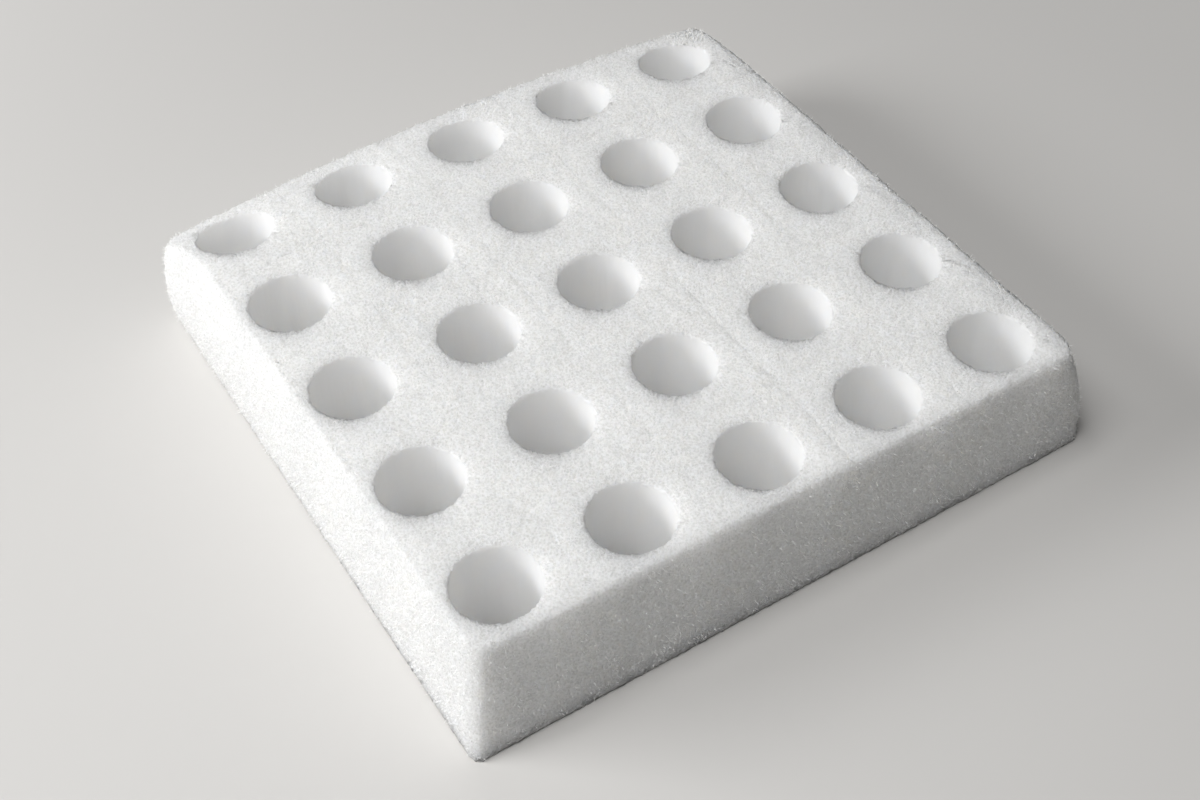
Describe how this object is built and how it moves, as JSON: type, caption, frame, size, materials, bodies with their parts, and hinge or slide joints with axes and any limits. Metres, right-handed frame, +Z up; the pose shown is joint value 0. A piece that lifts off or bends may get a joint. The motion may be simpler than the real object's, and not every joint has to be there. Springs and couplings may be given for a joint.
{
  "type": "hydroponic sponge sheet",
  "caption": "Square sheet of white open-cell foam with a grid of round plant holes and shallow score lines between the cells, for starting seedlings in hydroponic trays.",
  "frame": {"origin": "middle of the sheet's foot, on the surface it lies on", "axes": "+Z up through the sheet's thickness, +X along the front row of holes from the front left corner, +Y from the front row to the relaxed back row"},
  "size_m": [0.1312, 0.1226, 0.027],
  "materials": {
    "foam": "matt open-cell polyurethane foam, white and strongly translucent"
  },
  "bodies": {
    "root": {"sponge_sheet": "foam"}
  },
  "joints": []
}
